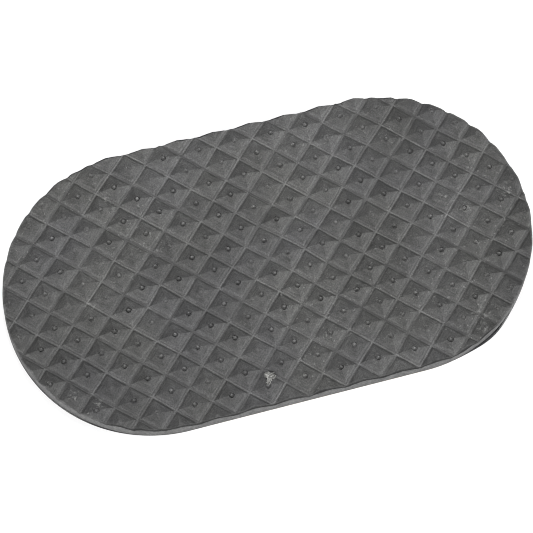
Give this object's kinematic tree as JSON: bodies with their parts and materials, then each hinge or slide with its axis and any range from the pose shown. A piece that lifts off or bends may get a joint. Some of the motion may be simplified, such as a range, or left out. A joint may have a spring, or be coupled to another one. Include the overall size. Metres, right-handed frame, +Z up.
{
  "type": "snowboard stomp pad",
  "caption": "Flat stadium-shaped foam grip pad with a top of low raised pyramids, each with a small round pip, an adhesive film on its back and a release liner in two halves.",
  "frame": {"origin": "centre of the pad's underside, on the release liner's lower face", "axes": "+X along the pad's long sides, +Y across the pad, +Z up out of the gripping face"},
  "size_m": [0.18, 0.0996, 0.0071],
  "materials": {
    "foam": "matte",
    "adhesive": "satin",
    "liner": "satin"
  },
  "bodies": {
    "pad": {"grip_pad": "foam", "adhesive_film": "adhesive"},
    "liner_left": {"liner_left": "liner"},
    "liner_right": {"liner_right": "liner"}
  },
  "joints": [
    {"name": "liner_left_peel", "type": "slide", "parent": "pad", "child": "liner_left", "axis": [-1, 0, 0], "range_m": [0, 0.095]},
    {"name": "liner_right_peel", "type": "slide", "parent": "pad", "child": "liner_right", "axis": [1, 0, 0], "range_m": [0, 0.095]}
  ]
}
